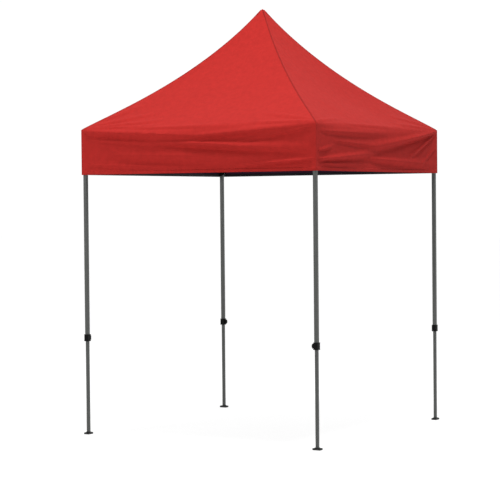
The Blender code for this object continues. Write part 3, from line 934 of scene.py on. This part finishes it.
def screw(bm, at, out, radius):
    """A pan-head screw whose top is sunk inside a narrow rim."""
    aim = Vector(out).to_track_quat("Z", "Y").to_matrix()
    made = bmesh.ops.create_cone(
        bm, cap_ends=True, segments=SCREW_SIDES, radius1=radius, radius2=radius * 0.72,
        depth=SCREW_HIGH,
    )["verts"]
    top = [
        f for f in bm.faces
        if len(f.verts) == SCREW_SIDES and all(v in made for v in f.verts)
        and f.calc_center_median().z > 0
    ]
    inner = bmesh.ops.inset_individual(bm, faces=top, thickness=radius * 0.35)["faces"]
    sunk = {v for f in top for v in f.verts}
    for v in sunk:
        v.co.z -= 0.0008
    for v in set(made) | {v for f in inner for v in f.verts} | sunk:
        v.co = Vector(at) + aim @ v.co


black_oxide = zinc("black_oxide_steel", "1A1A1A", 0.45)
collar_ribs = moulded("black_nylon_ribs", "0A0A0A", 0.46)
for index, corner in enumerate(CORNERS):
    turned = Matrix.Rotation(index * math.pi / 2, 3, "Z")
    low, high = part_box(f"height_collar_{corner}")
    at = turned @ Vector((LEG_AT, -LEG_AT, 0))
    bm = bmesh.new()
    rounded_ring(bm, SLEEVE, high.z - RIB_END, high.z - RIB_INSET, RIB_PROUD, at)
    rounded_ring(bm, SLEEVE, low.z + RIB_INSET, low.z + RIB_END, RIB_PROUD, at)
    finished(f"collar_ribs_{corner}", bm, collar_ribs, f"leg_{corner}")
    bm = bmesh.new()
    for out in ((1, 0, 0), (0, -1, 0)):
        middle = Vector((LEG_AT, -LEG_AT, (low.z + high.z) / 2))
        face = turned @ (middle + Vector(out) * SCREW_FACE)
        screw(bm, face, turned @ Vector(out), SCREW_R)
    finished(f"collar_screws_{corner}", bm, black_oxide, f"leg_{corner}")

# --- Pull rings -------------------------------------------------------------------
# Each slider locks with a spring pin, which is drawn out by a ring through its knob. The
# ring is bent from 2 mm zinc-plated steel wire.
RING_R = 0.011
WIRE_R = 0.0010
WIRE_SIDES = 8
PIN_OUT = 0.0205
PIN_BELOW = 0.030
for index, corner in enumerate(CORNERS):
    turned = Matrix.Rotation(index * math.pi / 2, 3, "Z")
    at = turned @ Vector((LEG_AT - PIN_OUT, -LEG_AT, LOWER_Z - PIN_BELOW - RING_R))
    bm = bmesh.new()
    profile = [
        bm.verts.new((RING_R + WIRE_R * math.cos(t), 0, WIRE_R * math.sin(t)))
        for t in (2 * math.pi * i / WIRE_SIDES for i in range(WIRE_SIDES))
    ]
    loop = [
        bm.edges.new((profile[i], profile[(i + 1) % WIRE_SIDES])) for i in range(WIRE_SIDES)
    ]
    bmesh.ops.spin(
        bm, geom=profile + loop, cent=(0, 0, 0), axis=(0, 0, 1), dvec=(0, 0, 0),
        angle=2 * math.pi, steps=28, use_merge=True, use_duplicate=False,
    )
    bmesh.ops.recalc_face_normals(bm, faces=bm.faces)
    place = Matrix.Translation(at) @ turned.to_4x4() @ Matrix.Rotation(math.pi / 2, 4, "Y")
    bmesh.ops.transform(bm, matrix=place, verts=bm.verts)
    finished(f"pull_ring_{corner}", bm, zinc_plate, f"slider_pin_{corner}")

# --- Foot plates ------------------------------------------------------------------
# Pressed steel plates with a turned-up rim, dipped black, and welded to the inner tube
# with a bead on all four sides.
RIM = 0.0018
RIM_WIDE = 0.0546
RIM_DEEP = 0.0386
RIM_MIDDLE_Z = 0.0062
RIM_HIGH = 0.0118
SOCKET = 0.0284
SOCKET_MIDDLE_Z = 0.0092
SOCKET_HIGH = 0.0110
BEADS = 9
BEAD_R = 0.0019
BEAD_ROW = 0.019
foot_coat = powder_coat("black_powder_coat_foot", "0D0D0D", "1C1C1B", 0.55)
for index, corner in enumerate(CORNERS):
    turned = Matrix.Rotation(index * math.pi / 2, 4, "Z")
    bm = bmesh.new()
    for x, y, wide, deep in (
        (0, (RIM_DEEP - RIM) / 2, RIM_WIDE, RIM), (0, -(RIM_DEEP - RIM) / 2, RIM_WIDE, RIM),
        ((RIM_WIDE - RIM) / 2, 0, RIM, RIM_DEEP - 2 * RIM),
        (-(RIM_WIDE - RIM) / 2, 0, RIM, RIM_DEEP - 2 * RIM),
    ):
        for v in bmesh.ops.create_cube(bm, size=1)["verts"]:
            z = RIM_MIDDLE_Z + v.co.z * RIM_HIGH
            v.co = Vector((x + v.co.x * wide, y + v.co.y * deep, z))
    bmesh.ops.remove_doubles(bm, verts=bm.verts, dist=1e-6)
    for v in bmesh.ops.create_cube(bm, size=1)["verts"]:
        z = SOCKET_MIDDLE_Z + v.co.z * SOCKET_HIGH
        v.co = Vector((v.co.x * SOCKET, v.co.y * SOCKET, z))
    bmesh.ops.transform(
        bm, matrix=turned @ Matrix.Translation((LEG_AT, -LEG_AT, 0)), verts=bm.verts
    )
    piece = finished(f"foot_rim_{corner}", bm, foot_coat, f"inner_leg_{corner}")
    edge = piece.modifiers.new("pressed_edge", "BEVEL")
    edge.width = 0.0006
    edge.segments = 2
    edge.limit_method = "ANGLE"

    bm = bmesh.new()
    for side_turn in range(4):
        row = Matrix.Rotation(side_turn * math.pi / 2, 4, "Z")
        row = row @ Matrix.Translation((0.0103, 0, 0.0152))
        for b in range(BEADS):
            y = BEAD_ROW * (b / (BEADS - 1) - 0.5)
            place = row @ Matrix.Translation((0, y, 0)) @ Matrix.Diagonal((1, 1.25, 0.9, 1))
            bmesh.ops.create_uvsphere(
                bm, u_segments=8, v_segments=5, radius=BEAD_R, matrix=place
            )
    bmesh.ops.transform(
        bm, matrix=turned @ Matrix.Translation((LEG_AT, -LEG_AT, 0)), verts=bm.verts
    )
    finished(f"foot_weld_{corner}", bm, foot_coat, f"inner_leg_{corner}")

# --- Corner straps ----------------------------------------------------------------
# A loop of 25 mm black hook-and-loop tape, sewn inside each valance corner, wraps the
# leg between the slider and the leg's top, and keeps the cover from lifting.
TAPE_THICK = 0.0016
TAPE_GAP = 0.0012
TAPE_BEND = 0.003
TAPE_HEIGHTS = (1.925, 1.9375, 1.95)
for index, corner in enumerate(CORNERS):
    turned = Matrix.Rotation(index * math.pi / 2, 4, "Z")
    bm = bmesh.new()
    half = 0.0125 + TAPE_GAP
    path = []
    for cx, cy, start in ((1, 1, 0), (-1, 1, 90), (-1, -1, 180), (1, -1, 270)):
        for step in range(5):
            t = math.radians(start + 90 * step / 4)
            flat_half = half - TAPE_BEND
            path.append((
                cx * flat_half + TAPE_BEND * math.cos(t), cy * flat_half + TAPE_BEND * math.sin(t)
            ))
    rows = []
    for z in TAPE_HEIGHTS:
        rows.append([bm.verts.new((x, y, z)) for x, y in path])
    count = len(path)
    for lower, upper in zip(rows, rows[1:]):
        for i in range(count):
            after = (i + 1) % count
            bm.faces.new((lower[i], lower[after], upper[after], upper[i]))
    layer = bm.loops.layers.uv.new("cut")
    for face in bm.faces:
        for loop in face.loops:
            loop[layer].uv = (loop.vert.co.x + loop.vert.co.y, loop.vert.co.z)
    bmesh.ops.transform(
        bm, matrix=turned @ Matrix.Translation((LEG_AT, -LEG_AT, 0)), verts=bm.verts
    )
    piece = finished(f"corner_strap_{corner}", bm, webbing, f"leg_{corner}")
    tape = piece.modifiers.new("tape", "SOLIDIFY")
    tape.thickness = TAPE_THICK
    tape.offset = 1

low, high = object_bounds()
